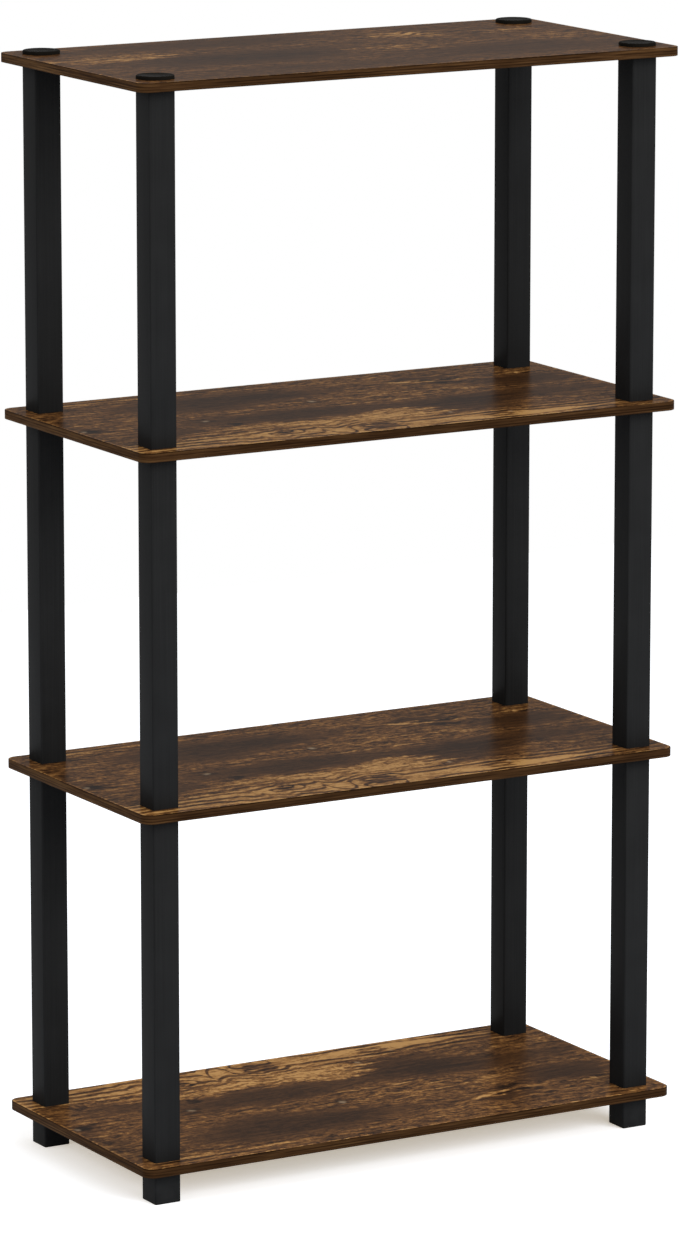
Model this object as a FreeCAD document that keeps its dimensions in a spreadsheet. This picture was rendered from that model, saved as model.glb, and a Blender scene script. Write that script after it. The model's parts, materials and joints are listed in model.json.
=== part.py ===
import FreeCAD, Part
import math
import os

import Sketcher

# Open shelving unit: boards carried on four posts. Each post is a foot, a square tube between every
# two boards and a round cap on top. A stud under each tube passes through the board and screws into
# the piece below, and the cap's own stud clamps the top board the same way. Screw threads are plain
# cylinders here, with a clearance between stud and socket.
# Frame: +Z up, X along the width, the front faces -Y, origin on the floor under the middle.

SIZES = {
    # board and its edge band
    "shelf_width": 600.0,
    "shelf_depth": 295.0,
    "board_thickness": 9.0,
    "corner_radius": 12.0,
    "band_thickness": 0.8,
    "band_arris": 0.5,
    "glue_gap": 0.05,
    # post axes, measured in from the board's ends and from its front and back
    "post_inset_x": 32.0,
    "post_inset_y": 32.0,
    # square tube
    "tube_side": 28.0,
    "tube_corner": 2.0,
    "tube_wall": 1.5,
    "tube_inner_corner": 0.8,
    "tube_length": 341.5,
    # mouldings pushed into the tube's ends
    "plug_clearance": 0.1,
    "plug_corner_relief": 0.6,
    "plug_grip": 24.0,
    # screwed joint
    "stud_diameter": 16.0,
    "stud_reach": 14.0,
    "stud_chamfer": 1.2,
    "thread_clearance": 0.3,
    "hole_clearance": 0.5,
    "socket_end_gap": 2.0,
    "socket_floor": 4.0,
    # foot and cap
    "foot_height": 33.0,
    "foot_chamfer": 0.8,
    "cap_diameter": 36.5,
    "cap_height": 3.5,
    "cap_edge": 1.2,
}
BOARD_COUNT = 4
POSTS = {
    "front_left": (-1, -1),
    "front_right": (1, -1),
    "back_left": (-1, 1),
    "back_right": (1, 1),
}

# expressions that several pieces share
POST_X = "(Sizes.shelf_width / 2 - Sizes.post_inset_x)"
POST_Y = "(Sizes.shelf_depth / 2 - Sizes.post_inset_y)"
TIER_PITCH = "(Sizes.board_thickness + Sizes.tube_length)"
SOCKET_DIAMETER = "Sizes.stud_diameter + 2 * Sizes.thread_clearance"
SOCKET_DEPTH = "Sizes.stud_reach + Sizes.socket_end_gap"
STUD_LENGTH = "Sizes.board_thickness + Sizes.stud_reach"
PLUG_SIDE = "Sizes.tube_side - 2 * (Sizes.tube_wall + Sizes.plug_clearance)"
PLUG_CORNER = "Sizes.tube_inner_corner + Sizes.plug_corner_relief"

UP = FreeCAD.Vector(0, 0, 1)
LEVEL = 1e-6

doc = FreeCAD.newDocument("ShelvingUnit")


def make_sheet():
    """Put every driving size in the spreadsheet, under its own alias."""
    sheet = doc.addObject("Spreadsheet::Sheet", "Sizes")
    for row, (name, value) in enumerate(SIZES.items(), 1):
        sheet.set(f"A{row}", name)
        sheet.set(f"B{row}", str(value))
        sheet.setAlias(f"B{row}", name)
    doc.recompute()


def new_body(label, x, y, z):
    """Start a sub-part whose origin is placed by three expressions."""
    body = doc.addObject("PartDesign::Body", label)
    body.Label = label
    for axis, expression in (("x", x), ("y", y), ("z", z)):
        body.setExpression(f"Placement.Base.{axis}", expression)
    return body


def new_sketch(body, name, height):
    """Start a sketch parallel to the body's own XY plane, at a height over it."""
    sketch = body.newObject("Sketcher::SketchObject", f"{body.Label}_{name}")
    ground = next(f for f in body.Origin.OriginFeatures if f.Role == "XY_Plane")
    sketch.AttachmentSupport = [(ground, "")]
    sketch.MapMode = "FlatFace"
    sketch.setExpression("AttachmentOffset.Base.z", height)
    return sketch


def values(body, *expressions):
    """Work out expressions as plain numbers, to draw a sketch near its final form."""
    return [float(body.evalExpression(expression)) for expression in expressions]


def bind(sketch, constraint, name, expression):
    """Add a dimension to a sketch and tie it to the sheet."""
    index = sketch.addConstraint(constraint)
    sketch.renameConstraint(index, name)
    sketch.setExpression(f"Constraints.{name}", expression)


def rounded_rectangle(body, name, width, depth, radius, height="0"):
    """Sketch a rectangle with round corners, centred on the body's axis."""
    sketch = new_sketch(body, name, height)
    across, along, corner = values(body, width, depth, radius)
    a, b = across / 2, along / 2
    c, d = a - corner, b - corner
    sides = (((-c, -b), (c, -b)), ((a, -d), (a, d)), ((c, b), (-c, b)), ((-a, d), (-a, -d)))
    for start, end in sides:
        line = Part.LineSegment(FreeCAD.Vector(*start, 0), FreeCAD.Vector(*end, 0))
        sketch.addGeometry(line)
    for quarter, centre in enumerate(((c, -d), (c, d), (-c, d), (-c, -d)), 3):
        ring = Part.Circle(FreeCAD.Vector(*centre, 0), UP, corner)
        arc = Part.ArcOfCircle(ring, math.radians(90 * quarter), math.radians(90 * quarter + 90))
        sketch.addGeometry(arc)
    for side in range(4):
        sketch.addConstraint(Sketcher.Constraint("Tangent", side, 2, side + 4, 1))
        sketch.addConstraint(Sketcher.Constraint("Tangent", side + 4, 2, (side + 1) % 4, 1))
        sketch.addConstraint(Sketcher.Constraint("Vertical" if side % 2 else "Horizontal", side))
    for arc in range(4, 7):
        sketch.addConstraint(Sketcher.Constraint("Equal", arc, arc + 1))
    sketch.addConstraint(Sketcher.Constraint("Symmetric", 0, 1, 2, 1, -1, 1))
    bind(sketch, Sketcher.Constraint("DistanceX", 3, 1, 1, 1, across), "across", width)
    bind(sketch, Sketcher.Constraint("DistanceY", 0, 1, 2, 1, along), "along", depth)
    bind(sketch, Sketcher.Constraint("Radius", 4, corner), "corner", radius)
    return sketch


def circle(body, name, diameter, height="0"):
    """Sketch a circle on the body's axis."""
    sketch = new_sketch(body, name, height)
    (across,) = values(body, diameter)
    sketch.addGeometry(Part.Circle(FreeCAD.Vector(), UP, across / 2))
    sketch.addConstraint(Sketcher.Constraint("Coincident", 0, 3, -1, 1))
    bind(sketch, Sketcher.Constraint("Diameter", 0, across), "across", diameter)
    return sketch


def post_circles(body, name, diameter, height):
    """Sketch one circle on each post's axis."""
    sketch = new_sketch(body, name, height)
    across, x, y = values(body, diameter, POST_X, POST_Y)
    for index, (post, (side, end)) in enumerate(POSTS.items()):
        sketch.addGeometry(Part.Circle(FreeCAD.Vector(side * x, end * y, 0), UP, across / 2))
        bind(sketch, Sketcher.Constraint("Diameter", index, across), f"across_{post}", diameter)
        for axis, sign, offset, expression in (("X", side, x, POST_X), ("Y", end, y, POST_Y)):
            points = (-1, 1, index, 3) if sign > 0 else (index, 3, -1, 1)
            distance = Sketcher.Constraint(f"Distance{axis}", *points, offset)
            bind(sketch, distance, f"offset_{axis}_{post}", expression)
    return sketch


def pad(body, sketch, length, down=False):
    """Extrude a sketch upwards, or downwards."""
    feature = body.newObject("PartDesign::Pad", f"{sketch.Name}_pad")
    feature.Profile = sketch
    feature.setExpression("Length", length)
    feature.Reversed = down
    doc.recompute()


def pocket(body, sketch, depth):
    """Cut downwards from a sketch, and make sure that the cut removed material."""
    before = body.Tip.Shape.Volume
    feature = body.newObject("PartDesign::Pocket", f"{sketch.Name}_pocket")
    feature.Profile = sketch
    feature.setExpression("Length", depth)
    doc.recompute()
    if feature.Shape.Volume > before - LEVEL:
        raise RuntimeError(f"{feature.Name} removed nothing")


def level_edges(body, *heights):
    """Name the edges of a body's latest feature that lie level at the given local heights."""
    names = []
    for number, edge in enumerate(body.Tip.Shape.Edges, 1):
        box = edge.BoundBox
        if any(abs(box.ZMin - z) < LEVEL and abs(box.ZMax - z) < LEVEL for z in heights):
            names.append(f"Edge{number}")
    return names


def ease_edges(body, kind, size, *heights):
    """Fillet or chamfer the level edges at the given local heights of a body."""
    edges = level_edges(body, *values(body, *heights))
    base = body.Tip
    feature = body.newObject(f"PartDesign::{kind}", f"{body.Label}_{kind.lower()}")
    feature.Base = (base, edges)
    feature.setExpression("Radius" if kind == "Fillet" else "Size", size)
    doc.recompute()


def add_stud(body):
    """Give a moulding the stud below it, which passes the board and enters a socket."""
    pad(body, circle(body, "stud", "Sizes.stud_diameter"), STUD_LENGTH, down=True)
    ease_edges(body, "Chamfer", "Sizes.stud_chamfer", f"-({STUD_LENGTH})")


def make_board(label, z):
    """One board without its edge band, drilled for the studs of the four posts."""
    body = new_body(label, "0", "0", z)
    trim = "(Sizes.band_thickness + Sizes.glue_gap)"
    outline = rounded_rectangle(
        body,
        "outline",
        f"Sizes.shelf_width - 2 * {trim}",
        f"Sizes.shelf_depth - 2 * {trim}",
        f"Sizes.corner_radius - {trim}",
    )
    pad(body, outline, "Sizes.board_thickness")
    diameter = "Sizes.stud_diameter + 2 * Sizes.hole_clearance"
    holes = post_circles(body, "holes", diameter, "Sizes.board_thickness")
    pocket(body, holes, "Sizes.board_thickness")
    return body


def make_band(label, z):
    """The strip glued round a board's edge, with its outer arrises eased."""
    body = new_body(label, "0", "0", z)
    outer = rounded_rectangle(
        body, "outer", "Sizes.shelf_width", "Sizes.shelf_depth", "Sizes.corner_radius"
    )
    pad(body, outer, "Sizes.board_thickness")
    ease_edges(body, "Fillet", "Sizes.band_arris", "0", "Sizes.board_thickness")
    inner = rounded_rectangle(
        body,
        "inner",
        "Sizes.shelf_width - 2 * Sizes.band_thickness",
        "Sizes.shelf_depth - 2 * Sizes.band_thickness",
        "Sizes.corner_radius - Sizes.band_thickness",
        "Sizes.board_thickness",
    )
    pocket(body, inner, "Sizes.board_thickness")
    return body


def make_tube(label, x, y, z):
    """One square hollow tube."""
    body = new_body(label, x, y, z)
    outer = rounded_rectangle(
        body, "outer", "Sizes.tube_side", "Sizes.tube_side", "Sizes.tube_corner"
    )
    pad(body, outer, "Sizes.tube_length")
    bore = "Sizes.tube_side - 2 * Sizes.tube_wall"
    inner = rounded_rectangle(
        body, "inner", bore, bore, "Sizes.tube_inner_corner", "Sizes.tube_length"
    )
    pocket(body, inner, "Sizes.tube_length")
    return body


def make_stud_plug(label, x, y, z):
    """The moulding in a tube's lower end, with the stud that screws into the piece below."""
    body = new_body(label, x, y, z)
    block = rounded_rectangle(body, "block", PLUG_SIDE, PLUG_SIDE, PLUG_CORNER)
    pad(body, block, "Sizes.plug_grip")
    add_stud(body)
    return body


def make_socket_plug(label, x, y, z):
    """The moulding in a tube's upper end, with the socket for the stud of the piece above."""
    body = new_body(label, x, y, z)
    block = rounded_rectangle(body, "block", PLUG_SIDE, PLUG_SIDE, PLUG_CORNER)
    pad(body, block, f"{SOCKET_DEPTH} + Sizes.socket_floor", down=True)
    pocket(body, circle(body, "socket", SOCKET_DIAMETER), SOCKET_DEPTH)
    return body


def make_foot(label, x, y):
    """The short moulded leg under the lowest board, with a socket in its top."""
    body = new_body(label, x, y, "0")
    outline = rounded_rectangle(
        body, "outline", "Sizes.tube_side", "Sizes.tube_side", "Sizes.tube_corner"
    )
    pad(body, outline, "Sizes.foot_height")
    ease_edges(body, "Chamfer", "Sizes.foot_chamfer", "0")
    pocket(body, circle(body, "socket", SOCKET_DIAMETER, "Sizes.foot_height"), SOCKET_DEPTH)
    return body


def make_cap(label, x, y, z):
    """The round cap that screws down on the top board."""
    body = new_body(label, x, y, z)
    pad(body, circle(body, "head", "Sizes.cap_diameter"), "Sizes.cap_height")
    ease_edges(body, "Fillet", "Sizes.cap_edge", "Sizes.cap_height")
    add_stud(body)
    return body


def make_unit():
    """Build every piece in its place, from the floor up."""
    pieces = []
    for number in range(1, BOARD_COUNT + 1):
        under = f"Sizes.foot_height + {number - 1} * {TIER_PITCH}"
        pieces.append(make_board(f"board_{number}", under))
        pieces.append(make_band(f"edge_band_{number}", under))
    for post, (side, end) in POSTS.items():
        x, y = f"{side} * {POST_X}", f"{end} * {POST_Y}"
        pieces.append(make_foot(f"foot_{post}", x, y))
        for number in range(1, BOARD_COUNT):
            lower = f"Sizes.foot_height + Sizes.board_thickness + {number - 1} * {TIER_PITCH}"
            upper = f"Sizes.foot_height + {number} * {TIER_PITCH}"
            pieces.append(make_tube(f"tube_{post}_{number}", x, y, lower))
            pieces.append(make_stud_plug(f"stud_plug_{post}_{number}", x, y, lower))
            pieces.append(make_socket_plug(f"socket_plug_{post}_{number}", x, y, upper))
        seat = f"Sizes.foot_height + Sizes.board_thickness + {BOARD_COUNT - 1} * {TIER_PITCH}"
        pieces.append(make_cap(f"cap_{post}", x, y, seat))
    doc.recompute()
    return pieces


def check(pieces):
    """Stop if any object of the document failed, or if a piece isn't one sound solid."""
    for thing in doc.Objects:
        if "Invalid" in thing.State or "Error" in thing.State:
            raise RuntimeError(f"{thing.Label} failed: {thing.State}")
    for piece in pieces:
        shape = piece.Shape
        if shape.isNull() or not shape.isValid() or len(shape.Solids) != 1:
            raise RuntimeError(f"{piece.Label} is not one sound solid")


def export(pieces):
    """Write each piece in its place to its own file."""
    os.makedirs("parts", exist_ok=True)
    for piece in pieces:
        piece.Shape.exportStep(f"parts/{piece.Label}.step")


make_sheet()
unit = make_unit()
check(unit)
export(unit)
whole = FreeCAD.BoundBox()
for part in unit:
    whole.add(part.Shape.optimalBoundingBox(False))
print(f"{len(unit)} pieces, {whole.XLength:.1f} x {whole.YLength:.1f} x {whole.ZLength:.1f} mm")
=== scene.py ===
"""Open shelving unit: four printed boards on four black screw-together posts.

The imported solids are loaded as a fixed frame. The boards and the hidden plugs keep their solids and get
better finishes; tubes, feet, caps and edge bands are modelled again with eased edges, and the caps with
their threads.
Lengths are in millimetres, and a mesh is brought to metres when it is finished.
"""

import json
import logging
import math
from dataclasses import dataclass, field
from enum import Enum

import bmesh
import bpy
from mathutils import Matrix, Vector

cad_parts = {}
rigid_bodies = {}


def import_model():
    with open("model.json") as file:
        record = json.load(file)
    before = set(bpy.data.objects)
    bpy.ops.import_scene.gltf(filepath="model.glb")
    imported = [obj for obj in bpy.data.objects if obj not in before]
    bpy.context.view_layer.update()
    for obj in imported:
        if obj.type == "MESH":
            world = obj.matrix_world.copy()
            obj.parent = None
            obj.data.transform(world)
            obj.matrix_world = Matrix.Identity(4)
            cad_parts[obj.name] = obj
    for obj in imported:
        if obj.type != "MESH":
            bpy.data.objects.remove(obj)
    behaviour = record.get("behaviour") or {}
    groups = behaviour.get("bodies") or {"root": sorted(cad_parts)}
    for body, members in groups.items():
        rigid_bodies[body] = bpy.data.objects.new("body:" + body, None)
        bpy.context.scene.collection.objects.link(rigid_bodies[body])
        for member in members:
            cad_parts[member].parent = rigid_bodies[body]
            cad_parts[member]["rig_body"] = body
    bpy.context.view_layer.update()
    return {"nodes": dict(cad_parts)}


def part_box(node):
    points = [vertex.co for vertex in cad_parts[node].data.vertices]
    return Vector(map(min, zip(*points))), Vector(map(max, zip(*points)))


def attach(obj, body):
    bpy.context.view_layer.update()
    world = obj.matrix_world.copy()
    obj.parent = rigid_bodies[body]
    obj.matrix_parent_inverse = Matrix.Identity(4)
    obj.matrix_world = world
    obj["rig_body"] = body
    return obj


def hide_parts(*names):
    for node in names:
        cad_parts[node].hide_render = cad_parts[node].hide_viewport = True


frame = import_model()

MM = 0.001
LEVEL_SLACK = 1e-4
ROUND_SLACK = 1e-3
SHARP_ANGLE = math.radians(38.0)
VECTOR = "NodeSocketVector"
FLOAT = "NodeSocketFloat"
LOG = logging.getLogger("shelving_unit")

Triple = tuple[float, float, float]
Colour = tuple[float, float, float, float]
Socket = bpy.types.NodeSocket
Feed = bpy.types.NodeSocket | float | Triple | Colour
Stops = tuple[tuple[float, Triple], ...]
Shifts = tuple[tuple[Triple, Triple], ...]
Layers = tuple[tuple[Triple, float], ...]


class Post(Enum):
    """The four posts, by the corner they stand at."""

    FRONT_LEFT = "front_left"
    FRONT_RIGHT = "front_right"
    BACK_LEFT = "back_left"
    BACK_RIGHT = "back_right"


class Slot(Enum):
    """The record's material slots."""

    LAMINATE = "board_laminate"
    BAND = "edge_band"
    PLASTIC = "black_plastic"


class Lay(Enum):
    """Which way round the foil lies on a board: straight, or turned over front to back."""

    STRAIGHT = 1.0
    TURNED = -1.0


class Wiring:
    """Short calls that add nodes to one node tree and join them."""

    def __init__(self, tree: bpy.types.NodeTree) -> None:
        """Work on a tree that may already hold nodes."""
        self.tree = tree

    def add(self, kind: str, **settings: object) -> bpy.types.Node:
        """Add one node and set its options.

        Args:
            kind: Blender's name for the node.
            **settings: options of the node, by name.

        Returns:
            The new node.
        """
        node = self.tree.nodes.new(kind)
        for name, value in settings.items():
            setattr(node, name, value)
        return node

    def feed(self, socket: Socket, value: Feed) -> None:
        """Join a socket to another node's output, or set its own value.

        Args:
            socket: the input to fill.
            value: an output socket, a number, a vector or a colour.
        """
        if isinstance(value, bpy.types.NodeSocket):
            self.tree.links.new(value, socket)
        else:
            socket.default_value = value

    def math(self, operation: str, *values: Feed, clamp: bool = False) -> Socket:
        """Work out a number from numbers.

        Args:
            operation: the operation's name.
            *values: its operands.
            clamp: keep the result between 0 and 1.

        Returns:
            The result's socket.
        """
        node = self.add("ShaderNodeMath", operation=operation, use_clamp=clamp)
        for socket, value in zip(node.inputs, values):
            self.feed(socket, value)
        return node.outputs[0]

    def vector(self, operation: str, *values: Feed) -> Socket:
        """Work out a vector, or a length, from vectors.

        Args:
            operation: the operation's name.
            *values: its operands.

        Returns:
            The result's socket.
        """
        node = self.add("ShaderNodeVectorMath", operation=operation)
        for socket, value in zip(node.inputs, values):
            self.feed(socket, value)
        return node.outputs["Value"] if operation == "LENGTH" else node.outputs["Vector"]

    def noise(self, point: Feed, cell: Triple, detail: float = 2.0, rough: float = 0.5) -> bpy.types.Node:
        """Add a noise in cells of a given size.

        Args:
            point: where it is read, in millimetres.
            cell: the cell's length along each axis, in millimetres.
            detail: its octaves past the first.
            rough: the share that each octave keeps.

        Returns:
            The noise node, with its Fac and Color outputs.
        """
        node = self.add("ShaderNodeTexNoise", noise_dimensions="3D", normalize=True)
        self.feed(node.inputs["Vector"], self.vector("DIVIDE", point, cell))
        node.inputs["Scale"].default_value = 1.0
        node.inputs["Detail"].default_value = detail
        node.inputs["Roughness"].default_value = rough
        return node

    def ease(self, value: Feed, low: Feed, high: Feed) -> Socket:
        """Ease from 0 at one value to 1 at another, which may be the lower one.

        Args:
            value: what is looked at.
            low: the value that gives 0.
            high: the value that gives 1.

        Returns:
            The eased number's socket.
        """
        node = self.add("ShaderNodeMapRange", interpolation_type="SMOOTHSTEP")
        for name, fill in (("Value", value), ("From Min", low), ("From Max", high)):
            self.feed(node.inputs[name], fill)
        return node.outputs["Result"]

    def sway(self, value: Feed, amount: float, start: Feed) -> Socket:
        """Add a value that swings about 0.5 to another.

        Args:
            value: the swinging value.
            amount: what a swing of 1 adds.
            start: what it is added to.

        Returns:
            The sum's socket.
        """
        return self.math("MULTIPLY_ADD", self.math("SUBTRACT", value, 0.5), amount, start)

    def part(self, vector: Socket, axis: str) -> Socket:
        """Take one part of a vector.

        Args:
            vector: the vector.
            axis: X, Y or Z.

        Returns:
            The part's socket.
        """
        node = self.add("ShaderNodeSeparateXYZ")
        self.feed(node.inputs["Vector"], vector)
        return node.outputs[axis]

    def shift(self, point: Socket, shifts: Shifts) -> Socket:
        """Shift places by noises.

        Args:
            point: the true place, in millimetres.
            shifts: a noise's cell and the most it shifts by, for each noise.

        Returns:
            The shifted place.
        """
        moved = point
        for cell, amount in shifts:
            noise = self.noise(point, cell, 2.0, 0.5)
            centred = self.vector("SUBTRACT", noise.outputs["Color"], (0.5, 0.5, 0.5))
            moved = self.vector("MULTIPLY_ADD", centred, amount, moved)
        return moved

    def ramp(self, value: Feed, stops: Stops) -> Socket:
        """Turn a number into a colour.

        Args:
            value: the number.
            stops: places between 0 and 1, each with its colour.

        Returns:
            The colour's socket.
        """
        node = self.add("ShaderNodeValToRGB")
        elements = node.color_ramp.elements
        while len(elements) < len(stops):
            elements.new(0.5)
        for element, (place, colour) in zip(elements, stops):
            element.position = place
            element.color = (*colour, 1.0)
        self.feed(node.inputs["Fac"], value)
        return node.outputs["Color"]

    def blend(self, share: Feed, first: Feed, second: Feed) -> Socket:
        """Blend two colours.

        Args:
            share: how much of the second there is, from 0 to 1.
            first: the first colour.
            second: the second colour.

        Returns:
            The blended colour's socket.
        """
        node = self.add("ShaderNodeMix", data_type="RGBA")
        for socket in node.inputs:
            fill = {"Factor_Float": share, "A_Color": first, "B_Color": second}.get(socket.identifier)
            if fill is not None:
                self.feed(socket, fill)
        return next(s for s in node.outputs if s.identifier == "Result_Color")

    def coordinates(self, depth_way: float = 1.0, height: float = 1.0) -> Socket:
        """Read the place on the object, in millimetres.

        Args:
            depth_way: 1 as it is, or -1 turned over front to back.
            height: 1 to keep the height, or 0 to drop it.

        Returns:
            The place's socket.
        """
        node = self.add("ShaderNodeMapping", vector_type="POINT")
        self.feed(node.inputs["Vector"], self.add("ShaderNodeTexCoord").outputs["Object"])
        node.inputs["Scale"].default_value = (1.0 / MM, depth_way / MM, height / MM)
        return node.outputs["Vector"]

    def bump(self, height: Feed, depth: float) -> Socket:
        """Turn a height into a normal.

        Args:
            height: the height, between 0 and 1.
            depth: how deep 1 is, in millimetres.

        Returns:
            The normal's socket.
        """
        node = self.add("ShaderNodeBump")
        node.inputs["Strength"].default_value = 1.0
        node.inputs["Distance"].default_value = depth * MM
        self.feed(node.inputs["Height"], height)
        return node.outputs["Normal"]


@dataclass(frozen=True)
class Effect:
    """A pattern that finishes share, kept as one shader node group."""

    name: str
    inputs: tuple[tuple[str, str], ...]
    outputs: tuple[str, ...]

    def wire(self, w: Wiring, given: bpy.types.Node, result: bpy.types.Node) -> None:
        """Fill the group between its input and output nodes; each effect has its own.

        Args:
            w: the group's wiring.
            given: the group's input node.
            result: the group's output node.
        """
        raise NotImplementedError

    def tree(self) -> bpy.types.NodeTree:
        """Find the group, or build it the first time.

        Returns:
            The node group.
        """
        known = bpy.data.node_groups.get(self.name)
        if known is not None:
            return known
        tree = bpy.data.node_groups.new(self.name, "ShaderNodeTree")
        for name, kind in self.inputs:
            tree.interface.new_socket(name, in_out="INPUT", socket_type=kind)
        for name in self.outputs:
            tree.interface.new_socket(name, in_out="OUTPUT", socket_type=FLOAT)
        w = Wiring(tree)
        self.wire(w, w.add("NodeGroupInput"), w.add("NodeGroupOutput"))
        return tree

    def place(self, w: Wiring, **values: Feed) -> bpy.types.Node:
        """Put the effect into a material.

        Args:
            w: the material's wiring.
            **values: the effect's inputs, by name.

        Returns:
            The group node.
        """
        node = w.add("ShaderNodeGroup", node_tree=self.tree())
        for name, value in values.items():
            w.feed(node.inputs[name], value)
        return node


@dataclass(frozen=True)
class SoftPatch(Effect):
    """An oval patch with a soft edge."""

    name: str = "soft_patch"
    inputs: tuple[tuple[str, str], ...] = (
        ("Point", VECTOR),
        ("Centre", VECTOR),
        ("Reach", VECTOR),
        ("Turn", FLOAT),
        ("Softness", FLOAT),
    )
    outputs: tuple[str, ...] = ("Mask",)

    def wire(self, w: Wiring, given: bpy.types.Node, result: bpy.types.Node) -> None:
        """Measure the distance from the centre in reaches, and ease it into a mask.

        Args:
            w: the group's wiring.
            given: the group's input node.
            result: the group's output node.
        """
        offset = w.vector("SUBTRACT", given.outputs["Point"], given.outputs["Centre"])
        turned = w.add("ShaderNodeVectorRotate", rotation_type="Z_AXIS")
        w.feed(turned.inputs["Vector"], offset)
        w.feed(turned.inputs["Angle"], given.outputs["Turn"])
        away = w.vector("LENGTH", w.vector("DIVIDE", turned.outputs[0], given.outputs["Reach"]))
        outer = w.math("ADD", 1.0, given.outputs["Softness"])
        inner = w.math("SUBTRACT", 1.0, given.outputs["Softness"])
        w.feed(result.inputs["Mask"], w.ease(away, outer, inner))


@dataclass(frozen=True)
class Grain(Effect):
    """Drawn-out streaks, as long and as wide as they are told."""

    name: str = "grain"
    inputs: tuple[tuple[str, str], ...] = (("Point", VECTOR), ("Streak", VECTOR))
    outputs: tuple[str, ...] = ("Streaks", "Cracks")
    crack_edge: tuple[float, float] = (0.62, 0.72)

    def wire(self, w: Wiring, given: bpy.types.Node, result: bpy.types.Node) -> None:
        """Read one noise in stretched cells; its rare peaks are the cracks.

        Args:
            w: the group's wiring.
            given: the group's input node.
            result: the group's output node.
        """
        noise = w.noise(given.outputs["Point"], given.outputs["Streak"], 3.0, 0.6)
        w.feed(result.inputs["Streaks"], noise.outputs["Fac"])
        w.feed(result.inputs["Cracks"], w.ease(noise.outputs["Fac"], *self.crack_edge))


@dataclass(frozen=True)
class Handling(Effect):
    """Faint unevenness of a moulded, drawn or pressed surface."""

    name: str = "handling"
    inputs: tuple[tuple[str, str], ...] = (("Point", VECTOR), ("Cell", VECTOR))
    outputs: tuple[str, ...] = ("Wiping", "Texture")
    wiping_cell: Triple = (45.0, 45.0, 45.0)

    def wire(self, w: Wiring, given: bpy.types.Node, result: bpy.types.Node) -> None:
        """Read a broad noise for wiping marks and a fine one for the texture.

        Args:
            w: the group's wiring.
            given: the group's input node.
            result: the group's output node.
        """
        broad = w.noise(given.outputs["Point"], self.wiping_cell, 2.0, 0.55)
        fine = w.noise(given.outputs["Point"], given.outputs["Cell"], 1.0, 0.5)
        w.feed(result.inputs["Wiping"], broad.outputs["Fac"])
        w.feed(result.inputs["Texture"], fine.outputs["Fac"])


@dataclass(frozen=True)
class PaintedRimHighlight(Effect):
    """A painted highlight: the lighter line along a board's rim, broken into dashes."""

    name: str = "painted_rim_highlight"
    inputs: tuple[tuple[str, str], ...] = (("Point", VECTOR), ("Half", VECTOR), ("Corner", FLOAT))
    outputs: tuple[str, ...] = ("Worn",)
    width: float = 3.0
    full_width: float = 1.2
    dash_cell: Triple = (6.0, 6.0, 1.0)

    def wire(self, w: Wiring, given: bpy.types.Node, result: bpy.types.Node) -> None:
        """Measure how near the rounded outline is, and break the line up with a noise.

        Args:
            w: the group's wiring.
            given: the group's input node.
            result: the group's output node.
        """
        point = given.outputs["Point"]
        corner = given.outputs["Corner"]
        square = w.vector("SUBTRACT", given.outputs["Half"], w.vector("MULTIPLY", corner, (1.0, 1.0, 0.0)))
        past = w.vector("MAXIMUM", w.vector("SUBTRACT", w.vector("ABSOLUTE", point), square), (0.0, 0.0, 0.0))
        inside = w.math("SUBTRACT", corner, w.vector("LENGTH", past))
        line = w.ease(inside, self.width, self.full_width)
        dashes = w.noise(point, self.dash_cell, 2.0, 0.6).outputs["Fac"]
        w.feed(result.inputs["Worn"], w.math("MULTIPLY", line, w.ease(dashes, 0.35, 0.6)))


SOFT_PATCH = SoftPatch()
GRAIN = Grain()
HANDLING = Handling()
PAINTED_RIM_HIGHLIGHT = PaintedRimHighlight()


def new_material(name: str) -> tuple[bpy.types.Material, Wiring, bpy.types.Node]:
    """Start a node material.

    Args:
        name: the finish's name.

    Returns:
        The material, its wiring and its shader node.
    """
    material = bpy.data.materials.new(name)
    material.use_nodes = True
    w = Wiring(material.node_tree)
    shader = next(n for n in material.node_tree.nodes if n.type == "BSDF_PRINCIPLED")
    return material, w, shader


@dataclass(frozen=True)
class Stain:
    """One soft patch of the print, and how much it adds to what the print has there."""

    centre: tuple[float, float]
    reach: tuple[float, float]
    lift: float
    soft: float = 0.6
    turn: float = 0.0

    def mask(self, w: Wiring, point: Socket) -> Socket:
        """Place the patch in a node tree.

        Args:
            w: the tree's wiring.
            point: the place on the print.

        Returns:
            The patch's mask.
        """
        node = SOFT_PATCH.place(
            w,
            Point=point,
            Centre=(*self.centre, 0.0),
            Reach=(*self.reach, 1.0),
            Turn=math.radians(self.turn),
            Softness=self.soft,
        )
        return node.outputs["Mask"]


@dataclass(frozen=True)
class Knot:
    """A knot that the grain lines bend round."""

    centre: tuple[float, float]
    radius: float
    stretch: float
    heart: float = 0.3

    def bend(self, w: Wiring, point: Socket) -> Socket:
        """Work out how far the knot pushes a grain line aside.

        Args:
            w: the tree's wiring.
            point: the place on the print.

        Returns:
            The push across the grain, in millimetres.
        """
        offset = w.vector("SUBTRACT", point, (*self.centre, 0.0))
        away = w.vector("LENGTH", w.vector("DIVIDE", offset, (self.stretch, 1.0, 1.0)))
        square = w.math("MULTIPLY_ADD", away, away, self.heart * self.radius**2)
        return w.math("DIVIDE", w.math("MULTIPLY", w.part(offset, "Y"), self.radius**2), square)


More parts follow.
